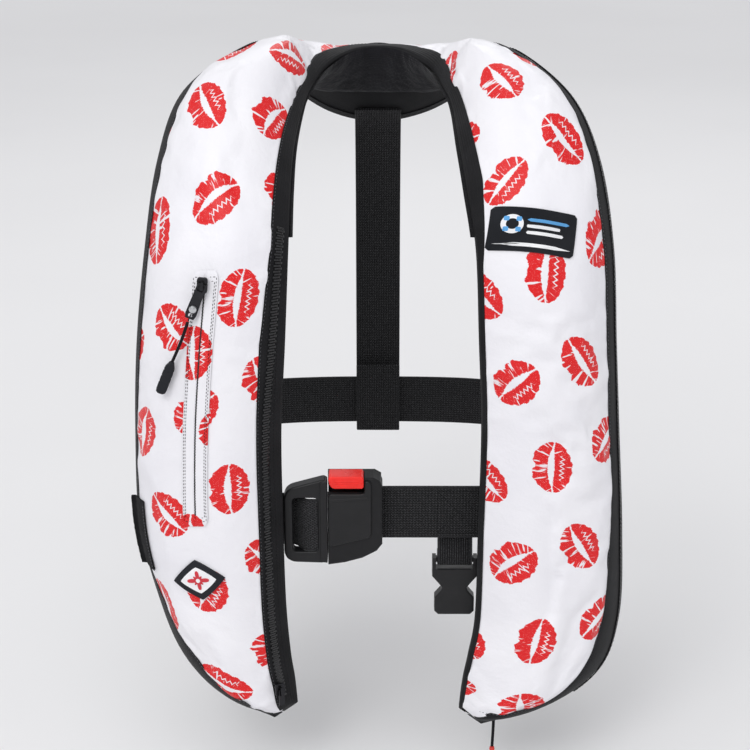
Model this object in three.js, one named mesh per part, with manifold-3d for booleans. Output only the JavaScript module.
// Inflatable life jacket: a horseshoe pack worn round the neck, closed by a waist belt.
// Millimetres, +Z up, -Y towards the front. X runs from the wearer's right lobe (-X) to the left
// lobe (+X). The origin is the middle of the nape, where the collar rests.

import * as THREE from 'three';
import { mergeVertices } from 'three/addons/utils/BufferGeometryUtils.js';
import Module from 'manifold-3d';

const wasm = await Module();
wasm.setup();

// ---------------------------------------------------------------- driving dimensions

const JACKET_WIDTH = 388;        // across both lobes at the chest
const JACKET_DROP = 515;         // nape to the lowest point of the longer lobe
const PATTERN_WIDTH = 388;       // size that the pattern stations below are drawn at
const PATTERN_DROP = 515;
const wide = (x) => x * JACKET_WIDTH / PATTERN_WIDTH;   // a place that moves with the width
const low = (z) => z * JACKET_DROP / PATTERN_DROP;      // and one that moves with the drop

const GAP = 0.3;                 // running gap between touching pieces
const COVER = 1.2;               // thickness of one cover skin
const SEAM_HALF = 1.5;           // half of the edge where front and back skins meet
const BULGE_FRONT = 30;          // folded bladder pack in front of the seam plane
const BULGE_BACK = 5;            // and behind it
const EDGE_RADIUS = 50;          // how far in from an edge the pack reaches full height
const EDGE_POWER = 2.2;
const INNER_SLACK = 1.6;         // air between a skin and what lies inside

const ZIP_BAND = 13.5;           // inner edge of the right lobe, closing zip
const COLLAR_BAND = 9;           // inner edge of the collar
const LEFT_BINDING = 2.5;        // inner edge of the left lobe
const BURST_BAND = 15;           // outer edge of the left lobe, burst zip
const RIGHT_BINDING = 8;         // outer edge of the collar and right shoulder
const CHEST_BINDING = 3.5;       // outer edge of the right lobe at the chest
const TIP_BINDING = 8;           // outer edge of the right lobe near its tip
const CHAIN_WIDTH = 4.5;
const CHAIN_HEIGHT = 1.6;
const CHAIN_LIFT = 0.5 + BULGE_FRONT / 45; // teeth stand clear of the curved tape
const CHAIN_FROM_EDGE = 5.3;     // near side of the inner tooth row, in from the edge
const CHAIN_END_FROM_EDGE = 0.8; // where the row meets the collar
const BURST_CHAIN_WIDTH = 3.5;
const BURST_CHAIN_FROM_EDGE = 2.5;

const WEBBING = 45;              // waist belt
const WEBBING_THICKNESS = 2;
const BELT_Z = -333;             // middle of the webbing on the housing's side
const TONGUE_BELT_Z = -341;      // and on the tongue's side
const BELT_Y = -158;             // middle of the webbing through the buckle
const BELT_BEHIND = 7;           // fixed belt lies this far behind the sliding piece
const STRAP = 40;                // back strap
const CROTCH_WEBBING = 28;

// ---------------------------------------------------------------- materials

function material(color, roughness, metalness = 0) {
  return new THREE.MeshStandardMaterial({ color, roughness, metalness });
}

const coverCloth = material(0xf1f0f4, 0.45);
const innerCloth = material(0x17171a, 0.8);
const bindingCloth = material(0x121214, 0.7);
const webbingCloth = material(0x18191c, 0.75);
const toothPlastic = material(0x26272b, 0.4);
const bladderCloth = material(0xf2b705, 0.5);
const blackPlastic = material(0x1b1c20, 0.45);
const redPlastic = material(0xe8301a, 0.35);
const steel = material(0xc9ccd0, 0.3, 1);
const blackMetal = material(0x1d1e22, 0.4, 0.8);
const cylinderMetal = material(0xaeb3b8, 0.35, 0.9);
const gripRubber = material(0x1a1b1e, 0.6);
const badgeCloth = material(0xd8262a, 0.55);
const labelCloth = material(0x101114, 0.55);
const clearPlastic = material(0x2a2c31, 0.4);
const yellowPlastic = material(0xf4c20d, 0.4);

// ---------------------------------------------------------------- pack surface
// Each station is one line across the pack: its point on the inner (neck) edge and its point on
// the outer edge, from the tip of the right lobe, over the back of the neck, to the left tip.

const RIGHT_LOBE = [
  [[-66, -176, -495], [-84, -175, -509]],
  [[-68, -176, -471], [-128, -162, -493]],
  [[-71, -177, -447], [-160, -151, -461]],
  [[-74, -177, -401], [-179, -145, -409]],
  [[-75, -177, -331], [-191, -143, -347]],
  [[-75, -176, -256], [-191, -140, -270]],
  [[-71, -173, -184], [-187, -136, -197]],
  [[-68, -162, -117], [-179, -127, -127]],
  [[-67, -133, -78], [-171, -93, -66]],
  [[-65, -98, -51], [-155, -50, -21]],
  [[-60, -52, -31], [-116, -5, 4]],
];
const COLLAR = [
  [[-54, -22, -20], [-102, 30, -6]],
  [[-42, 8, -8], [-78, 62, -32]],
  [[-22, 30, 0], [-42, 84, -60]],
  [[0, 37, 2], [0, 91, -70]],
  [[22, 30, 0], [43, 84, -60]],
  [[42, 8, -8], [80, 62, -34]],
  [[53, -22, -20], [105, 30, -10]],
];
const LEFT_LOBE = [
  [[59, -52, -31], [120, -5, -1]],
  [[63, -98, -51], [156, -50, -28]],
  [[68, -133, -78], [173, -93, -68]],
  [[74, -162, -117], [181, -127, -127]],
  [[77, -173, -184], [185, -136, -197]],
  [[80, -176, -256], [190, -140, -270]],
  [[79, -177, -340], [196, -143, -356]],
  [[78, -177, -415], [197, -145, -429]],
  [[73, -177, -450], [182, -151, -475]],
  [[69, -176, -473], [138, -162, -504]],
  [[66, -176, -500], [84, -175, -515]],
];
const STATIONS = [...RIGHT_LOBE, ...COLLAR, ...LEFT_LOBE];
const LAST = STATIONS.length - 1;
const MIDDLE = LAST / 2;

function gradedCurve(side) {
  const points = STATIONS.map((station) => {
    const [x, y, z] = station[side];
    return new THREE.Vector3(x * JACKET_WIDTH / PATTERN_WIDTH, y, z * JACKET_DROP / PATTERN_DROP);
  });
  return new THREE.CatmullRomCurve3(points, false, 'catmullrom', 0.5);
}

const innerEdge = gradedCurve(0);
const outerEdge = gradedCurve(1);

// The seam frame at station s: its two edge points, the chord and the outward normal.
function stationFrame(s) {
  const t = Math.min(Math.max(s / LAST, 0), 1);
  const inner = innerEdge.getPoint(t);
  const outer = outerEdge.getPoint(t);
  const along = innerEdge.getTangent(t).add(outerEdge.getTangent(t)).normalize();
  const across = outer.clone().sub(inner);
  const chord = across.length();
  const normal = along.clone().cross(across).normalize();
  return { inner, across, chord, along, normal };
}

function packRise(distance) {
  const x = Math.min(distance / EDGE_RADIUS, 1);
  return 1 - (1 - x) ** EDGE_POWER;
}

function edgeDistance(frame, v) {
  return Math.max(Math.min(v, 1 - v), 0) * frame.chord;
}

// Heights of the outside of the front and back skins over the seam plane.
function frontHeight(frame, v) {
  return SEAM_HALF + BULGE_FRONT * packRise(edgeDistance(frame, v));
}

function backHeight(frame, v) {
  return -SEAM_HALF - BULGE_BACK * packRise(edgeDistance(frame, v));
}

function packPoint(s, v, height) {
  const frame = stationFrame(s);
  const offset = typeof height === 'function' ? height(frame, v) : height;
  return frame.inner.clone()
    .addScaledVector(frame.across, v)
    .addScaledVector(frame.normal, offset);
}

// ---------------------------------------------------------------- geometry helpers

function indexedSolid(points, triangles) {
  let volume = 0;
  for (const [a, b, c] of triangles) {
    volume += points[a].dot(points[b].clone().cross(points[c]));
  }
  const index = triangles.flatMap(([a, b, c]) => (volume > 0 ? [a, b, c] : [a, c, b]));
  const geometry = new THREE.BufferGeometry();
  const position = new Float32Array(points.flatMap((p) => [p.x, p.y, p.z]));
  geometry.setAttribute('position', new THREE.BufferAttribute(position, 3));
  geometry.setIndex(index);
  return geometry;
}

// Stations where the skins are cut into facets: every one, and every half where the pack turns.
const FACET_STATIONS = Array.from({ length: 2 * LAST + 1 }, (_, k) => k / 2).filter((s) => {
  const straight = (s > 3 && s < 7) || (s > LAST - 7 && s < LAST - 3);
  return Number.isInteger(s) || !straight;
});
const MIN_FACET = 0.1;

function stationSamples(s0, s1) {
  const inside = FACET_STATIONS.filter((s) => s > s0 + MIN_FACET && s < s1 - MIN_FACET);
  return [s0, ...inside, s1];
}

// A closed slab of the pack surface between stations s0 and s1. The range functions give the
// start and end across the pack at a station, bottom and top give the two heights.
function slab({ s0, s1, from, to, columns, bottom, top }) {
  const samples = stationSamples(s0, s1);
  const rows = samples.map((s) => {
    const frame = stationFrame(s);
    const v0 = from(frame, s);
    const v1 = to(frame, s);
    return Array.from({ length: columns + 1 }, (_, j) => v0 + (v1 - v0) * j / columns)
      .map((v) => [packPoint(s, v, bottom), packPoint(s, v, top)]);
  });
  const points = rows.flat(2);
  const at = (i, j, layer) => (i * (columns + 1) + j) * 2 + layer;
  const triangles = [];
  const quad = (a, b, c, d) => triangles.push([a, b, c], [a, c, d]);
  const last = rows.length - 1;
  for (let i = 0; i < last; i += 1) {
    for (let j = 0; j < columns; j += 1) {
      quad(at(i, j, 1), at(i + 1, j, 1), at(i + 1, j + 1, 1), at(i, j + 1, 1));
      quad(at(i, j, 0), at(i, j + 1, 0), at(i + 1, j + 1, 0), at(i + 1, j, 0));
    }
    quad(at(i, 0, 0), at(i + 1, 0, 0), at(i + 1, 0, 1), at(i, 0, 1));
    quad(at(i, columns, 0), at(i, columns, 1), at(i + 1, columns, 1), at(i + 1, columns, 0));
  }
  for (let j = 0; j < columns; j += 1) {
    quad(at(0, j, 0), at(0, j, 1), at(0, j + 1, 1), at(0, j + 1, 0));
    quad(at(last, j, 0), at(last, j + 1, 0), at(last, j + 1, 1), at(last, j, 1));
  }
  return indexedSolid(points, triangles);
}

const fromInner = (distance) => (frame) => distance / frame.chord;
const fromOuter = (distance) => (frame) => 1 - distance / frame.chord;
const above = (height, lift) => (frame, v) => height(frame, v) + lift;

function solidOf(geometry) {
  const bare = geometry.clone();
  bare.deleteAttribute('normal');
  bare.deleteAttribute('uv');
  const merged = mergeVertices(bare, 1e-4);
  return new wasm.Manifold(new wasm.Mesh({
    numProp: 3,
    vertProperties: new Float32Array(merged.attributes.position.array),
    triVerts: new Uint32Array(merged.index.array),
  }));
}

function geometryOf(solid) {
  const mesh = solid.getMesh();
  const geometry = new THREE.BufferGeometry();
  geometry.setAttribute('position', new THREE.BufferAttribute(mesh.vertProperties, 3));
  geometry.setIndex(new THREE.BufferAttribute(mesh.triVerts, 1));
  return geometry;
}

function cut(geometry, ...tools) {
  return geometryOf(tools.reduce((solid, tool) => solid.subtract(solidOf(tool)), solidOf(geometry)));
}

function join(geometry, ...others) {
  return geometryOf(others.reduce((solid, other) => solid.add(solidOf(other)), solidOf(geometry)));
}

function box([x0, y0, z0], [x1, y1, z1]) {
  return new THREE.BoxGeometry(x1 - x0, y1 - y0, z1 - z0)
    .translate((x0 + x1) / 2, (y0 + y1) / 2, (z0 + z1) / 2);
}

// A round bar along Z, from z0 to z1.
function bar(x, y, z0, z1, radius, sides = 20) {
  return new THREE.CylinderGeometry(radius, radius, z1 - z0, sides)
    .rotateX(Math.PI / 2)
    .translate(x, y, (z0 + z1) / 2);
}

// A lathe profile of [radius, z] pairs turned about Z.
function turned(profile, sides = 24) {
  const points = profile.map(([r, z]) => new THREE.Vector2(r, z));
  return new THREE.LatheGeometry(points, sides).rotateX(Math.PI / 2);
}

function shapeOf(points) {
  return new THREE.Shape(points.map(([x, y]) => new THREE.Vector2(x, y)));
}

// An outline in X and Z, extruded from y0 (front) to y1 (back).
function plateXZ(outline, y0, y1, bevel = 0, holes = []) {
  const shape = shapeOf(outline);
  shape.holes = holes.map((hole) => new THREE.Path(hole.map(([x, z]) => new THREE.Vector2(x, z))));
  return new THREE.ExtrudeGeometry(shape, {
    depth: y1 - y0 - 2 * bevel,
    bevelEnabled: bevel > 0,
    bevelThickness: bevel,
    bevelSize: bevel,
    bevelOffset: -bevel,
    bevelSegments: 2,
    curveSegments: 6,
  }).rotateX(Math.PI / 2).translate(0, y1 - bevel, 0);
}

function roundedRect(x0, z0, x1, z1, radius, steps = 3) {
  const corners = [[x1, z0, -90], [x1, z1, 0], [x0, z1, 90], [x0, z0, 180]];
  return corners.flatMap(([x, z, start]) => {
    const cx = x + (x === x1 ? -radius : radius);
    const cz = z + (z === z1 ? -radius : radius);
    return Array.from({ length: steps + 1 }, (_, k) => {
      const angle = THREE.MathUtils.degToRad(start + 90 * k / steps);
      return [cx + radius * Math.cos(angle), cz + radius * Math.sin(angle)];
    });
  });
}

// A flat ribbon that follows a planar path: both sides offset by half its thickness.
function ribbonOutline(path, thickness) {
  const sideOf = (sign) => path.map(([x, y], i) => {
    const [ax, ay] = path[Math.max(i - 1, 0)];
    const [bx, by] = path[Math.min(i + 1, path.length - 1)];
    const length = Math.hypot(bx - ax, by - ay);
    const half = sign * thickness / 2;
    return [x - (by - ay) / length * half, y + (bx - ax) / length * half];
  });
  return [...sideOf(1), ...sideOf(-1).reverse()];
}

// Webbing whose path lies in X and Y, standing between z0 and z1.
function ribbonXY(path, z0, z1, thickness = WEBBING_THICKNESS) {
  return new THREE.ExtrudeGeometry(shapeOf(ribbonOutline(path, thickness)), {
    depth: z1 - z0,
    bevelEnabled: false,
  }).translate(0, 0, z0);
}

// Webbing whose path lies in Y and Z, lying between x0 and x1.
function ribbonYZ(path, x0, x1, thickness = WEBBING_THICKNESS) {
  return new THREE.ExtrudeGeometry(shapeOf(ribbonOutline(path, thickness)), {
    depth: x1 - x0,
    bevelEnabled: false,
  }).rotateY(Math.PI / 2).rotateX(Math.PI / 2).translate(x0, 0, 0);
}

function arc(cx, cy, radius, startDeg, endDeg, steps) {
  return Array.from({ length: steps + 1 }, (_, k) => {
    const angle = THREE.MathUtils.degToRad(startDeg + (endDeg - startDeg) * k / steps);
    return [cx + radius * Math.cos(angle), cy + radius * Math.sin(angle)];
  });
}

function smoothPath(points, steps) {
  const curve = new THREE.CatmullRomCurve3(points.map(([x, y]) => new THREE.Vector3(x, y, 0)));
  return curve.getPoints(steps).map((p) => [p.x, p.y]);
}

// A round cord: an eight-sided section along a smooth curve.
function cordTube(points, diameter, steps) {
  const curve = new THREE.CatmullRomCurve3(points.map((p) => new THREE.Vector3(...p)));
  const section = new THREE.Shape(arc(0, 0, diameter / 2, 0, 315, 7)
    .map(([x, y]) => new THREE.Vector2(x, y)));
  return new THREE.ExtrudeGeometry(section, { steps, extrudePath: curve, bevelEnabled: false });
}

function mesh(name, geometry, meshMaterial) {
  const bare = geometry.clone();
  bare.deleteAttribute('uv');
  bare.deleteAttribute('normal');
  const merged = mergeVertices(bare, 1e-4);
  merged.computeVertexNormals();
  const result = new THREE.Mesh(merged, meshMaterial);
  result.name = name;
  return result;
}

// ---------------------------------------------------------------- covers, edges and bladder

const MIDDLE_SEAM = 0.015;       // half of the seam at the middle of the back, in stations
const rightSide = { s0: 0, s1: MIDDLE - MIDDLE_SEAM };
const leftSide = { s0: MIDDLE + MIDDLE_SEAM, s1: LAST };

// A value that runs from a to b while the station goes from s0 to s1.
function ramp(s, s0, s1, a, b) {
  return a + (b - a) * Math.min(Math.max((s - s0) / (s1 - s0), 0), 1);
}

const rightInnerBand = (s) => ramp(s, 6, 7, ZIP_BAND, COLLAR_BAND);
const leftInnerBand = (s) => ramp(s, MIDDLE + 6, MIDDLE + 7.2, COLLAR_BAND, LEFT_BINDING);

function rightOuterBand(s) {
  return s < 4 ? ramp(s, 1, 3, TIP_BINDING, CHEST_BINDING) : ramp(s, 5.2, 6, CHEST_BINDING, RIGHT_BINDING);
}

function skin(side, from, to, columns) {
  return slab({
    ...side, from, to, columns, bottom: above(frontHeight, -COVER), top: frontHeight,
  });
}

function backSkin(side) {
  return slab({
    ...side,
    from: fromInner(0),
    to: fromOuter(0),
    columns: 5,
    bottom: backHeight,
    top: above(backHeight, COVER),
  });
}

function toothRow(side, from, to) {
  return slab({
    ...side,
    from,
    to,
    columns: 1,
    bottom: above(frontHeight, CHAIN_LIFT),
    top: above(frontHeight, CHAIN_LIFT + CHAIN_HEIGHT),
  });
}

// The manual inflation lanyard leaves through the lower edge of the left lobe.
const LANYARD = {
  x: wide(116) - 22, y: -174, top: low(-432) - 46, bottom: low(-432) - 105, diameter: 2.5, clearance: 1,
};

function lanyardHole() {
  const radius = LANYARD.diameter / 2 + LANYARD.clearance;
  return bar(LANYARD.x, LANYARD.y, LANYARD.bottom, LANYARD.top, radius, 12);
}

function covers() {
  const hole = lanyardHole();
  return [
    mesh('outer_cover_right', skin(
      rightSide,
      (frame, s) => (rightInnerBand(s) + GAP) / frame.chord,
      (frame, s) => 1 - (rightOuterBand(s) + GAP) / frame.chord,
      7,
    ), coverCloth),
    mesh('outer_cover_left', cut(skin(
      leftSide,
      (frame, s) => (leftInnerBand(s) + GAP) / frame.chord,
      fromOuter(BURST_BAND + GAP),
      7,
    ), hole), coverCloth),
    mesh('inner_cover_right', backSkin(rightSide), innerCloth),
    mesh('inner_cover_left', cut(backSkin(leftSide), hole), innerCloth),
    mesh('inner_zip_tape_right', skin(
      rightSide,
      fromInner(0),
      (frame, s) => rightInnerBand(s) / frame.chord,
      2,
    ), bindingCloth),
    mesh('outer_binding_right', skin(
      rightSide,
      (frame, s) => 1 - rightOuterBand(s) / frame.chord,
      fromOuter(0),
      2,
    ), bindingCloth),
    mesh('inner_binding_left', skin(
      leftSide,
      fromInner(0),
      (frame, s) => leftInnerBand(s) / frame.chord,
      1,
    ), bindingCloth),
    mesh('outer_zip_tape_left', cut(skin(
      leftSide,
      fromOuter(BURST_BAND),
      fromOuter(0),
      2,
    ), hole), bindingCloth),
  ];
}

const ZIP_START = 0.6;           // first station of the closing zip's teeth
const ZIP_END = 7.3;

const chainStart = (s) => ramp(s, 5, ZIP_END, CHAIN_FROM_EDGE, CHAIN_END_FROM_EDGE);

function toothRows() {
  return [
    mesh('zip_chain_right', toothRow(
      { s0: ZIP_START, s1: ZIP_END },
      (frame, s) => chainStart(s) / frame.chord,
      (frame, s) => (chainStart(s) + CHAIN_WIDTH) / frame.chord,
    ), toothPlastic),
    mesh('zip_chain_left', toothRow(
      { s0: MIDDLE + 0.5, s1: LAST - 1.5 },
      fromOuter(BURST_CHAIN_FROM_EDGE + BURST_CHAIN_WIDTH),
      fromOuter(BURST_CHAIN_FROM_EDGE),
    ), toothPlastic),
  ];
}

// The folded bladder keeps clear of the oral tube in the right lobe and of the inflator and gas
// cylinder in the left one.
const BLADDER_MARGIN = 20;
const ORAL_ROOM = wide(31) + 9;
const INFLATOR_ROOM = wide(41) + 25;

function bladderStart(frame, s) {
  const blend = (a, b, t) => a + (b - a) * Math.min(Math.max(t, 0), 1);
  const rightLobe = blend(ORAL_ROOM, BLADDER_MARGIN, s - 6.5);
  const leftLobe = blend(BLADDER_MARGIN, INFLATOR_ROOM, s - 21.5);
  return (s < MIDDLE ? rightLobe : leftLobe) / frame.chord;
}

function bladder() {
  const inset = COVER + INNER_SLACK;
  return mesh('bladder', slab({
    s0: 1.5,
    s1: LAST - 1.5,
    from: bladderStart,
    to: fromOuter(BLADDER_MARGIN),
    columns: 5,
    bottom: above(backHeight, inset),
    top: above(frontHeight, -inset),
  }), bladderCloth);
}

// ---------------------------------------------------------------- collar fittings

const LINING_THICKNESS = 5;
const LINING_GAP = 1.2;
const LINING_START = 7.2;        // first and last station of the padded neck lining
const LINING_END = 20.8;

function neckLining() {
  return mesh('neck_lining', slab({
    s0: LINING_START,
    s1: LINING_END,
    from: (frame) => -3 / frame.chord,
    to: (frame) => 46 / frame.chord,
    columns: 4,
    bottom: above(backHeight, -LINING_GAP - LINING_THICKNESS),
    top: above(backHeight, -LINING_GAP),
  }), innerCloth);
}

// The back strap hangs from under the collar and hooks round the waist belt.
const BACK_BELT_Y = 105;
const BACK_BELT_Z = (BELT_Z + TONGUE_BELT_Z) / 2;
const HOOK_RADIUS = WEBBING_THICKNESS + 1.4;

function backStrap() {
  const beltBottom = BACK_BELT_Z - WEBBING / 2;
  const outside = BACK_BELT_Y + HOOK_RADIUS;
  const path = [
    [71, -57], [79, -65], [86, -73.5], [91, -86], [98, -106], [103, -130], [outside, -160],
    [outside, beltBottom - 1],
    ...arc(BACK_BELT_Y, beltBottom - 2, HOOK_RADIUS, 0, -180, 6),
    [BACK_BELT_Y - HOOK_RADIUS, BACK_BELT_Z + WEBBING / 2 + 12],
  ];
  return mesh('back_strap', ribbonYZ(path, -STRAP / 2, STRAP / 2), webbingCloth);
}

// A short arched loop of webbing on the outside of the collar, for hanging the jacket up.
const HANG_LOOP = { reach: 26, rise: 9, width: 14, lift: 0.8, thickness: 1.6, v: 0.5 };

function hangingLoop() {
  const { reach, rise, width, lift, thickness, v } = HANG_LOOP;
  const path = [
    [-reach - 8, 0], [-reach, 0.6], [-reach * 0.55, rise * 0.75], [0, rise],
    [reach * 0.55, rise * 0.75], [reach, 0.6], [reach + 8, 0],
  ];
  const strip = mesh('hanging_loop', ribbonXY(path, -width / 2, width / 2, thickness), webbingCloth);
  const frame = stationFrame(MIDDLE);
  const seat = packPoint(MIDDLE, v, above(frontHeight, lift + thickness / 2));
  const basis = new THREE.Matrix4().makeBasis(
    frame.along,
    frame.normal,
    frame.along.clone().cross(frame.normal),
  );
  strip.position.copy(seat);
  strip.quaternion.setFromRotationMatrix(basis);
  return strip;
}

// ---------------------------------------------------------------- waist belt

const SLIDE_END = 84;            // the sliding belt piece ends behind the left lobe
const SIDE_SPLIT = 139;          // where the side pieces meet the piece round the back

const TONGUE_BELT_X = -95;
const LOOP_X = 116;              // the belt passes through a loop here on each side
const BEHIND_LEFT = [
  [SLIDE_END - 2, BELT_Y + BELT_BEHIND], [LOOP_X, -149.6], [SIDE_SPLIT - 0.4, -147],
];
const BEHIND_RIGHT = [
  [TONGUE_BELT_X - 0.4, -153.5], [-LOOP_X, -151.7], [0.4 - SIDE_SPLIT, -147],
];
const ROUND_BACK = [
  [SIDE_SPLIT, -146.8], [170, -134], [189, -105], [196, -60], [193, -5], [177, 45],
  [143, 80], [85, 100], [0, BACK_BELT_Y],
];
const BELT_STEPS = 36;

function mirrored(path) {
  return path.map(([x, y]) => [-x, y]);
}

function beltPiece(name, path, steps, z) {
  const outline = smoothPath(path, steps);
  return mesh(name, ribbonXY(outline, z - WEBBING / 2, z + WEBBING / 2), webbingCloth);
}

function waistBelt() {
  const round = [...ROUND_BACK, ...mirrored(ROUND_BACK).reverse().slice(1)];
  return [
    beltPiece('waist_belt', round, BELT_STEPS, BACK_BELT_Z),
    beltPiece('belt_left', BEHIND_LEFT, 5, BELT_Z),
    beltPiece('belt_right', BEHIND_RIGHT, 5, TONGUE_BELT_Z),
  ];
}

// A webbing loop behind each lobe holds the belt against it.
const LOOP = { front: -153.8, width: 16, room: 4.2, thickness: 1.5, reach: 8, sewn: 8 };

function beltLoop(name, side, [, beltY], z) {
  const { front } = LOOP;
  const back = beltY + LOOP.room;
  const half = WEBBING / 2;
  const reach = half + LOOP.reach;
  const path = [
    [front, z + reach + LOOP.sewn], [front + 1, z + reach], [back - 1, z + half + 3], [back, z + half - 2],
    [back, z - half + 2], [back - 1, z - half - 3], [front + 1, z - reach], [front, z - reach - LOOP.sewn],
  ];
  const x0 = side * LOOP_X - LOOP.width / 2;
  return mesh(name, ribbonYZ(path, x0, x0 + LOOP.width, LOOP.thickness), webbingCloth);
}

// ---------------------------------------------------------------- push-button buckle

const BUCKLE = {
  left: -39.5, right: 3.5, top: -299, bottomLeft: -374, bottomRight: -356,
  front: -170, back: -148, wall: 2.5, backPlate: 2.5,
};
const TONGUE = {
  left: -74.5, right: -39.9, topLeft: -310, topRight: -301, bottom: -374, front: -167, back: -155,
};
const SLOT = { left: -67.5, right: -47, reach: WEBBING / 2 + 2.5 };
const BUTTON = { left: -39.2, right: -11, bottom: -307, top: -296.5, front: -171, back: -156 };
const PRESS = 4;                 // button travel

function buckleHousing() {
  const { left, right, top, bottomLeft, bottomRight, front, back, wall, backPlate } = BUCKLE;
  const outline = [
    [left, top], [left, bottomLeft], [-26, bottomLeft + 2], [-12, bottomLeft + 6],
    [-1, bottomLeft + 12], [right, bottomRight], [right, top - 8], [right - 2, top - 3],
    [right - 7, top],
  ];
  const shellBack = back - backPlate - GAP;
  const shell = plateXZ(outline, front, shellBack, 1.5);
  const cavity = box([left - 2, front + wall, bottomLeft + 8], [-6, back, top - 11]);
  const notch = box(
    [left - 2, front - 2, BUTTON.bottom - GAP - PRESS],
    [BUTTON.right + GAP, BUTTON.back + GAP, top + 5],
  );
  const beltMouth = box(
    [-9, BELT_Y - 2, BELT_Z - WEBBING / 2 - 1],
    [right + 3, back, BELT_Z + WEBBING / 2 + 1],
  );
  const plateOutline = [
    [left, top - 1], [left, bottomLeft + 1], [-12, bottomLeft + 7], [right - 1, bottomRight],
    [right - 1, top - 4], [right - 6, top - 1],
  ];
  return [
    mesh('buckle_housing', cut(shell, cavity, notch, beltMouth), blackPlastic),
    mesh('buckle_back_plate', plateXZ(plateOutline, back - backPlate, back, 0.6), blackPlastic),
  ];
}

function releaseButton() {
  const cap = plateXZ(
    roundedRect(BUTTON.left, BUTTON.bottom, BUTTON.right, BUTTON.top, 1.5),
    BUTTON.front,
    BUTTON.back,
    1,
  );
  const stem = box([-31, -166, BUTTON.bottom - 8], [-20, BLADE.front - GAP, BUTTON.bottom + 1]);
  return mesh('release_button', join(cap, stem), redPlastic);
}

const LATCH = { left: -33, right: -16, top: -315.4, bottom: -351, front: -166.5, back: -164.5 };

function latchPlate() {
  const outline = [
    [LATCH.left, LATCH.top], [LATCH.left, LATCH.bottom], [LATCH.right, LATCH.bottom],
    [LATCH.right, LATCH.top],
  ];
  return mesh('latch_plate', plateXZ(outline, LATCH.front, LATCH.back), steel);
}

const SPRING = { radius: 1.5, wire: 0.7, turns: 4, bottom: -364.5, x: -24.5, y: -165.5 };

function buttonSpring() {
  const top = LATCH.bottom - 1;
  const steps = SPRING.turns * 10;
  const points = Array.from({ length: steps + 1 }, (_, k) => {
    const angle = 2 * Math.PI * SPRING.turns * k / steps;
    const z = SPRING.bottom + (top - SPRING.bottom) * k / steps;
    return [
      SPRING.x + SPRING.radius * Math.cos(angle), SPRING.y + SPRING.radius * Math.sin(angle), z,
    ];
  });
  return mesh('button_spring', cordTube(points, SPRING.wire, steps), steel);
}

function buckleTongue() {
  const { left, right, topLeft, topRight, bottom, front, back } = TONGUE;
  const outline = [
    [right, topRight], [left + 6, topLeft + 1], [left + 2, topLeft - 2], [left, topLeft - 7],
    [left, bottom + 9], [left + 2, bottom + 4], [left + 7, bottom + 1], [right, bottom],
  ];
  const slot = roundedRect(
    SLOT.left,
    TONGUE_BELT_Z - SLOT.reach,
    SLOT.right,
    TONGUE_BELT_Z + SLOT.reach,
    3,
  );
  const frame = plateXZ(outline, front, back, 1, [slot]);
  const pocket = box([right - 5, BLADE.front - GAP, BLADE.bottom - GAP],
    [right + 2, BLADE.back + GAP, BLADE.top + GAP]);
  const blade = box([right - 5 + GAP, BLADE.front, BLADE.bottom], [BLADE.end, BLADE.back, BLADE.top]);
  const window = box([-30, BLADE.front - 1, -338], [-22, BLADE.back + 1, -326]);
  return [
    mesh('buckle_tongue', cut(frame, pocket), blackPlastic),
    mesh('tongue_blade', cut(blade, window), steel),
  ];
}

const BLADE = { front: -163.5, back: -160.5, top: -318, bottom: -350, end: -12 };

// The webbing comes from behind the lobe, through the slot and back round the tongue's bar.
function tongueWebbing() {
  const path = [
    [TONGUE_BELT_X, BELT_Y + 4.5], [-80, BELT_Y + 4.6], [-67, BELT_Y + 4.6],
    [-62, BELT_Y], [-59, BELT_Y - 5], [-56, BELT_Y - 7], [-50, BELT_Y - 7.5],
  ];
  return mesh('tongue_webbing', ribbonXY(
    path,
    TONGUE_BELT_Z - WEBBING / 2,
    TONGUE_BELT_Z + WEBBING / 2,
  ), webbingCloth);
}

function buckleBelt() {
  const path = [[-7, BELT_Y], [40, BELT_Y], [SLIDE_END, BELT_Y]];
  return mesh('buckle_belt', ribbonXY(
    path,
    BELT_Z - WEBBING / 2,
    BELT_Z + WEBBING / 2,
  ), webbingCloth);
}

// ---------------------------------------------------------------- crotch strap buckle

const CROTCH = { x: 61.5, y: BELT_Y + 3, top: -371, bottom: -423, width: 36, depth: 11 };
const CROTCH_PIVOT_Z = BELT_Z - WEBBING / 2 - 3;

function crotchStrap() {
  const left = CROTCH.x - CROTCH_WEBBING / 2;
  const right = CROTCH.x + CROTCH_WEBBING / 2;
  const sewn = ribbonYZ(
    [[CROTCH.y, BELT_Z + 16], [CROTCH.y, CROTCH_PIVOT_Z + 0.4]],
    left,
    right,
  );
  const barZ = CROTCH.top - 4.5;
  const turn = 4.4;
  const loop = ribbonYZ([
    [CROTCH.y, CROTCH_PIVOT_Z - 0.4], [CROTCH.y - 1, CROTCH_PIVOT_Z - 4],
    [CROTCH.y - turn, barZ + 6], ...arc(CROTCH.y, barZ, turn, 180, 360, 6),
    [CROTCH.y + turn, barZ + 7],
  ], left, right);
  return [
    mesh('crotch_strap', sewn, webbingCloth),
    mesh('crotch_strap_loop', loop, webbingCloth),
  ];
}

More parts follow.
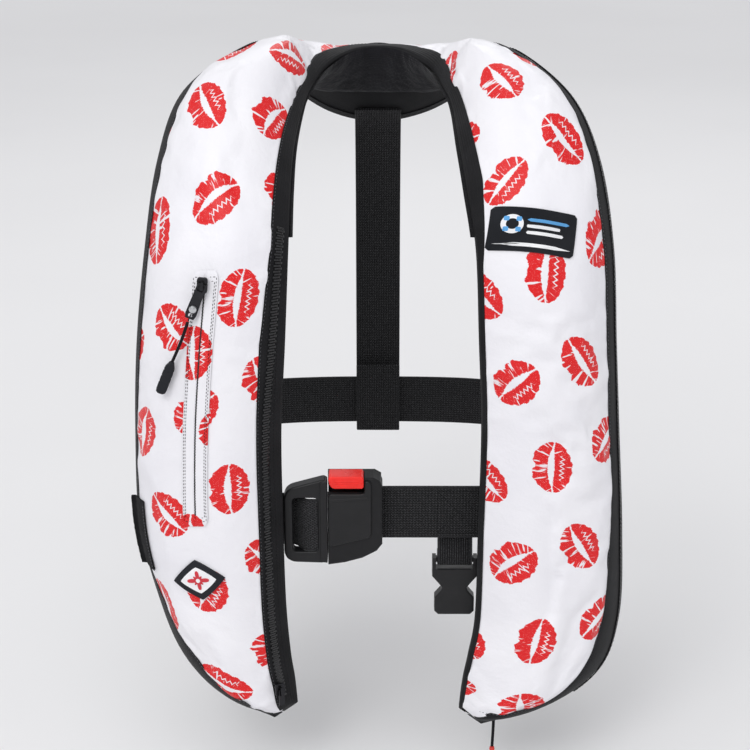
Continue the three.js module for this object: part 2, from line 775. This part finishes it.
function crotchBuckle() {
  const { x, y, top, bottom, width, depth } = CROTCH;
  const half = width / 2;
  const waist = 10;
  const outline = [
    [x - half, top - 2], [x - half, top - 18], [x - waist - 3, top - 24],
    [x - waist, top - 28], [x - waist - 1, top - 31], [x - half + 2, top - 37],
    [x - half + 2, bottom + 3], [x - half + 5, bottom],
  ];
  const mirroredSide = outline.map(([px, pz]) => [2 * x - px, pz]).reverse();
  const slotHalf = CROTCH_WEBBING / 2 + 1;
  const slot = (z0, z1) => box([x - slotHalf, y - depth, z0], [x + slotHalf, y + depth, z1]);
  const mouth = box([x - 12.5, y - 3, bottom - 2], [x + 12.5, y + 3, top - 36]);
  const throat = box([x - 6, y - 3, bottom - 2], [x + 6, y + 3, top - 18]);
  const body = plateXZ([...outline, ...mirroredSide], y - depth / 2, y + depth / 2, 1);
  const beside = (y0, y1) => box([x - slotHalf, y0, top - 8], [x + slotHalf, y1, top + 2]);
  return mesh('crotch_buckle_socket', cut(
    body,
    slot(top - 12, top - 6.6),
    slot(top - 2.4, top + 2),
    beside(y - depth, y - 2),
    beside(y + 2, y + depth),
    mouth,
    throat,
  ), blackPlastic);
}

// ---------------------------------------------------------------- pocket and its zip pull

const POCKET = { s0: 4.11, s1: 6.79, v0: 0.49, v1: 0.435, half: 10.5, thickness: 1 };
const POCKET_LIFT = 0.5;

function pocketMiddle(s) {
  const t = (s - POCKET.s0) / (POCKET.s1 - POCKET.s0);
  return POCKET.v0 + (POCKET.v1 - POCKET.v0) * t;
}

function pocketPanel() {
  const strip = (half, lift, thickness, trim = 0) => slab({
    s0: POCKET.s0 + trim,
    s1: POCKET.s1 - trim,
    from: (frame, s) => pocketMiddle(s) - half / frame.chord,
    to: (frame, s) => pocketMiddle(s) + half / frame.chord,
    columns: 1,
    bottom: above(frontHeight, lift),
    top: above(frontHeight, lift + thickness),
  });
  return [
    mesh('pocket_panel', strip(POCKET.half, POCKET_LIFT, POCKET.thickness), coverCloth),
    mesh('pocket_zip_chain', strip(2, POCKET_LIFT + POCKET.thickness + GAP, 0.6, 0.06), toothPlastic),
  ];
}

// A group whose X, Y, Z run across the pack, into it and up along it, at a point of its front.
function frontGroup(s, v, lift) {
  const frame = stationFrame(s);
  const back = frame.normal.clone().negate();
  const up = frame.along.clone().multiplyScalar(s < MIDDLE ? 1 : -1);
  const group = new THREE.Group();
  group.position.copy(packPoint(s, v, above(frontHeight, lift)));
  group.quaternion.setFromRotationMatrix(
    new THREE.Matrix4().makeBasis(back.clone().cross(up), back, up),
  );
  return group;
}

// The pull hangs from the slider at the top of the pocket and leans outwards.
const PULL_LEAN = THREE.MathUtils.degToRad(18);
const PULL_REST = THREE.MathUtils.degToRad(6);    // lies back against the pack
const SLIDER_LIFT_TOP = 6.2;     // the straight path clears the curved pocket
const SLIDER_LIFT_BOTTOM = 8.2;
const SLIDER_TOP = 6.66;         // stations where the slider stops
const SLIDER_BOTTOM = 4.3;
const TAB = { length: 27.5, top: 1.7, halfTop: 3.6, halfEnd: 4.3, thickness: 1.2 };
const PULL_CORD = { length: 34, diameter: 2.4, steps: 12 };
const GRIP = { length: 28, half: 4.2, depth: 5.5 };

function pocketTravel() {
  const at = (station, lift) => (
    packPoint(station, pocketMiddle(station), above(frontHeight, lift))
  );
  return { top: at(SLIDER_TOP, SLIDER_LIFT_TOP), bottom: at(SLIDER_BOTTOM, SLIDER_LIFT_BOTTOM) };
}

function pocketPull() {
  const { top, bottom } = pocketTravel();
  const slider = new THREE.Group();
  slider.position.copy(top);
  slider.quaternion.setFromUnitVectors(
    new THREE.Vector3(0, 0, 1),
    top.clone().sub(bottom).normalize(),
  );
  const plate = plateXZ(roundedRect(-4, -6, 4, 6, 2), -1.2, 1.2, 0.4);
  const bridge = plateXZ(roundedRect(-1.1, -3.2, 1.1, 3.2, 0.8), -4.8, -0.8);
  const eye = box([-3, -4, -2.3], [3, -1.4, 2.3]);
  slider.add(mesh('pocket_slider', cut(join(plate, bridge), eye), blackMetal));

  const lean = new THREE.Group();
  lean.position.set(0, -2.7, 0);
  lean.rotation.set(PULL_REST, PULL_LEAN, 0, 'YXZ');
  slider.add(lean);

  const { length, halfTop, halfEnd, thickness } = TAB;
  const outline = [
    [halfTop, TAB.top], [-halfTop, TAB.top], [-halfEnd, 3.5 - length], [1 - halfEnd, -length],
    [halfEnd - 1, -length], [halfEnd, 3.5 - length],
  ];
  const eyelet = roundedRect(-2.4, -4.6, 2.4, 0.7, 0.6, 1);
  const ringHole = roundedRect(-1.7, 1.3 - length, 1.7, 4.3 - length, 0.8, 2);
  lean.add(mesh(
    'pocket_pull_tab',
    plateXZ(outline, -thickness / 2, thickness / 2, 0, [eyelet, ringHole]),
    blackMetal,
  ));
  const rivetFace = -thickness / 2 - GAP;
  const rivet = turned([[0, 0], [3.1, 0], [2.8, 0.8], [1.2, 1.4], [0, 1.5]], 16)
    .rotateX(Math.PI / 2).translate(0, rivetFace, 8 - length);
  lean.add(mesh('pull_rivet', rivet, steel));

  const ring = new THREE.TorusGeometry(2.4, 0.55, 6, 16).rotateY(Math.PI / 2)
    .translate(0, 0, 0.55 - length);
  lean.add(mesh('pull_ring', ring, blackMetal));

  const cordTop = -length - 3.4;
  const cord = cordTube(
    [[0, 0, cordTop], [0, 0, cordTop - PULL_CORD.length / 2], [0, 0, cordTop - PULL_CORD.length]],
    PULL_CORD.diameter,
    PULL_CORD.steps,
  );
  lean.add(mesh('pull_cord', cord, bindingCloth));
  const gripTop = cordTop - PULL_CORD.length - GAP;
  const { half } = GRIP;
  const gripOutline = [
    [-1.9, gripTop], [-half + 0.6, gripTop - 4], [-half, gripTop - GRIP.length + 2],
    [1.5 - half, gripTop - GRIP.length], [half - 1.5, gripTop - GRIP.length],
    [half, gripTop - GRIP.length + 2], [half - 0.6, gripTop - 4], [1.9, gripTop],
  ];
  lean.add(mesh(
    'pull_grip',
    plateXZ(gripOutline.reverse(), -GRIP.depth / 2, GRIP.depth / 2, 0.9),
    gripRubber,
  ));
  return slider;
}

// ---------------------------------------------------------------- badge, label and edge tab

function facePatch({ s, v, width, height, lean, lift, thickness, outline }) {
  const group = frontGroup(s, v, lift);
  group.rotateY(lean);
  const points = outline(width / 2, height / 2);
  return { group, geometry: plateXZ(points, -thickness, 0) };
}

const rectangle = (w, h) => roundedRect(-w, -h, w, h, 2.5, 2);
const diamond = (w, h) => [[0, -h], [w, 0], [0, h], [-w, 0]];

function badge() {
  const { group, geometry } = facePatch({
    s: 3.47, v: 0.51, width: 44, height: 34, lean: -0.08, lift: 1.3, thickness: 1.6,
    outline: diamond,
  });
  group.add(mesh('badge', geometry, badgeCloth));
  return group;
}

function label() {
  const { group, geometry } = facePatch({
    s: 20.84, v: 0.325, width: 61, height: 33, lean: 0.22, lift: 4.2, thickness: 1.4,
    outline: rectangle,
  });
  group.add(mesh('label', geometry, labelCloth));
  return group;
}

// A hook-and-loop tab folded over the outer edge of the right lobe keeps the zip ends closed.
function edgeTab() {
  return mesh('edge_tab', slab({
    s0: 3.46,
    s1: 4.31,
    from: fromOuter(RIGHT_BINDING + 7),
    to: fromOuter(-4),
    columns: 4,
    bottom: (frame, v) => frontHeight(frame, Math.min(v, 1)) + GAP + 0.5,
    top: (frame, v) => frontHeight(frame, Math.min(v, 1)) + GAP + 3,
  }), bindingCloth);
}

// ---------------------------------------------------------------- closing zip slider

const ZIP_SLIDER_LIFT = CHAIN_LIFT + CHAIN_HEIGHT + 3.6;
const ZIP_TURN = 0.5;            // the zip faces partly towards the neck opening
const ZIP_SLIDER_START = 0.95;
const ZIP_SLIDER_STOP = 5;

function chainMiddle(s) {
  const distance = chainStart(s) + CHAIN_WIDTH / 2;
  return packPoint(s, distance / stationFrame(s).chord, above(frontHeight, ZIP_SLIDER_LIFT));
}

function zipTravel() {
  return { bottom: chainMiddle(ZIP_SLIDER_START), top: chainMiddle(ZIP_SLIDER_STOP) };
}

function zipSlider() {
  const { bottom, top } = zipTravel();
  const slider = new THREE.Group();
  slider.position.copy(bottom);
  slider.quaternion.setFromUnitVectors(
    new THREE.Vector3(0, 0, 1),
    top.clone().sub(bottom).normalize(),
  );
  slider.rotateZ(ZIP_TURN);
  const plate = plateXZ(roundedRect(-4.2, -5.5, 4.2, 5.5, 2), -1, 1, 0.4);
  const bridge = plateXZ(roundedRect(-1.1, -3.6, 1.1, 3.6, 1), -4, -0.7);
  const eye = box([-3, -3.3, -2.4], [3, -1, 2.4]);
  slider.add(mesh('zip_slider', cut(join(plate, bridge), eye), blackMetal));
  const tabOutline = roundedRect(-2.4, -13, 2.4, 1.2, 0.8);
  const eyelet = roundedRect(-1.6, -4.2, 1.6, 0.4, 0.5, 1);
  const tab = mesh('zip_pull_tab', plateXZ(tabOutline, -0.5, 0.5, 0, [eyelet]), blackMetal);
  tab.position.set(0, -2.35, 0);
  slider.add(tab);
  return slider;
}

// ---------------------------------------------------------------- inflator, inside the left lobe

const CYLINDER = { x: wide(116), y: -178.7, radius: 13.5, length: 128, neck: 6, neckLength: 11 };
const INFLATOR = {
  x0: CYLINDER.x - 18, x1: CYLINDER.x + 18, z0: low(-432) - 34, z1: low(-432), y0: -189, y1: -169,
};
const LEVER = { pivotX: CYLINDER.x - 5, pivotZ: INFLATOR.z0 - 5.5, pin: 1.6, tip: LANYARD.x };

function inflator() {
  const { x0, x1, z0, z1, y0, y1 } = INFLATOR;
  const body = box([x0, y0, z0], [x1, y1, z1]);
  const pinBore = bar(CYLINDER.x, CYLINDER.y, z0 - 1, z1 + 1, 3);
  const neckBore = bar(CYLINDER.x, CYLINDER.y, z1 - CYLINDER.neckLength - 3, z1 + 1, 7);
  const lugZ = LEVER.pivotZ - 4;
  const lug = (front, back) => box([LEVER.pivotX - 4, front, lugZ], [LEVER.pivotX + 4, back, z0 + 1]);
  const pinHole = new THREE.CylinderGeometry(LEVER.pin + GAP, LEVER.pin + GAP, 40, 16)
    .translate(LEVER.pivotX, CYLINDER.y, LEVER.pivotZ);
  const leverFront = CYLINDER.y - 2.5;
  const lever = plateXZ([
    [LEVER.pivotX + 3.5, LEVER.pivotZ + 3.4], [LEVER.tip - 3, LEVER.pivotZ + 2.4],
    [LEVER.tip - 3, LEVER.pivotZ - 2.4], [LEVER.pivotX + 3.5, LEVER.pivotZ - 3.4],
  ].reverse(), leverFront, leverFront + 5, 0.5);
  const pin = new THREE.CylinderGeometry(LEVER.pin, LEVER.pin, 15, 16)
    .translate(LEVER.pivotX, CYLINDER.y, LEVER.pivotZ);
  const capX = x1 - 9;
  const manifoldZ = (z0 + z1) / 2;
  const flange = turned([[0, 0], [9, 0], [9, 2], [5, 2], [5, 4], [0, 4]])
    .rotateY(Math.PI / 2).translate(x1 + GAP, CYLINDER.y, manifoldZ);
  return [
    mesh('inflator_body', cut(
      join(body, lug(y0 + 2, leverFront - GAP), lug(leverFront + 5 + GAP, y1 - 1)),
      pinBore,
      neckBore,
      pinHole,
    ), yellowPlastic),
    mesh('inflator_lever', cut(lever, pinHole), redPlastic),
    mesh('lever_pin', pin, steel),
    mesh('piercing_pin', turned([[0, 0], [2.5, 0], [2.5, 11], [0, 15]], 12)
      .translate(CYLINDER.x, CYLINDER.y, z0 + 0.5), steel),
    mesh('sensor_cap', bar(capX, CYLINDER.y, z0 - 13, z0 - GAP, 8), clearPlastic),
    mesh('manifold_valve', flange, blackPlastic),
  ];
}

function gasCylinder() {
  const seat = INFLATOR.z1 - CYLINDER.neckLength;
  const { radius, length, neck, neckLength } = CYLINDER;
  const shoulder = neckLength + GAP + 1;
  const profile = [
    [0, 0], [neck, 0], [neck, shoulder], [radius * 0.7, shoulder + 2], [radius, shoulder + 10],
    [radius, length - 9], [radius * 0.7, length - 2], [0, length],
  ];
  const gasket = turned([[3.2, 0], [6.6, 0], [6.6, 1.6], [3.2, 1.6], [3.2, 0]], 20);
  return [
    mesh('co2_cylinder', turned(profile).translate(CYLINDER.x, CYLINDER.y, seat), cylinderMetal),
    mesh('cylinder_gasket', gasket.translate(CYLINDER.x, CYLINDER.y, seat - 2.2), gripRubber),
  ];
}

function lanyard() {
  const { x, y, top, bottom, diameter } = LANYARD;
  const knob = 5;
  const route = [[x, y, top], [x, y, (top + bottom) / 2], [x, y, bottom]];
  return [
    mesh('lanyard_cord', cordTube(route, diameter, 14), bindingCloth),
    mesh('lanyard_bead', turned([[0, -knob], [1.8, 0.6 - knob], [2.3, -2.5], [1.8, -0.5], [0, 0]], 14)
      .translate(x, y, bottom - GAP), gripRubber),
  ];
}

// ---------------------------------------------------------------- oral tube, in the right lobe

const ORAL = {
  x: wide(-106), y: -180.5, bottom: low(-290) - 130, top: low(-290), radius: 6.5, bore: 4.4,
};

function oralTube() {
  const { x, y, bottom, top, radius, bore } = ORAL;
  const length = top - bottom;
  const tube = turned([
    [bore, 0], [radius, 0], [radius, length], [bore, length], [bore, length - 14],
    [2.4, length - 18], [2.4, length - 24], [bore, length - 28], [bore, 0],
  ]).translate(x, y, bottom);
  const stem = turned([
    [0, -26], [1.9, -26], [1.9, -15.5], [3.9, -12.5], [3.9, -10.5], [1.4, -10], [1.4, -2], [0, -2],
  ], 16).translate(x, y, top);
  const wall = 1.4;
  const cap = turned([
    [0, 1], [radius + GAP, 1], [radius + GAP, -12], [radius + GAP + wall, -12],
    [radius + GAP + wall, 5], [0, 5],
  ]).translate(x, y, top);
  return [
    mesh('oral_tube', tube, blackPlastic),
    mesh('oral_valve', stem, steel),
    mesh('oral_cap', cap, redPlastic),
  ];
}

function whistle() {
  const left = wide(-108);
  const top = low(-214);
  const body = plateXZ(roundedRect(left, top - 38, left + 14, top, 3), -186, -177, 1.5);
  const windway = box([left + 3, -184, top - 24], [left + 11, -179, top + 4]);
  return mesh('whistle', cut(body, windway), yellowPlastic);
}

// ---------------------------------------------------------------- assembly

const jacket = new THREE.Group();
jacket.add(
  ...covers(), ...toothRows(), bladder(),
  neckLining(), backStrap(), hangingLoop(),
  ...waistBelt(),
  beltLoop('belt_loop_right', -1, BEHIND_RIGHT[1], TONGUE_BELT_Z),
  beltLoop('belt_loop_left', 1, BEHIND_LEFT[1], BELT_Z),
  ...buckleHousing(), releaseButton(), latchPlate(), buttonSpring(), ...buckleTongue(),
  tongueWebbing(), buckleBelt(), ...crotchStrap(), crotchBuckle(),
  ...pocketPanel(), pocketPull(), badge(), label(), edgeTab(), zipSlider(),
  ...inflator(), ...gasCylinder(), ...lanyard(), ...oralTube(), whistle(),
);

export default jacket;
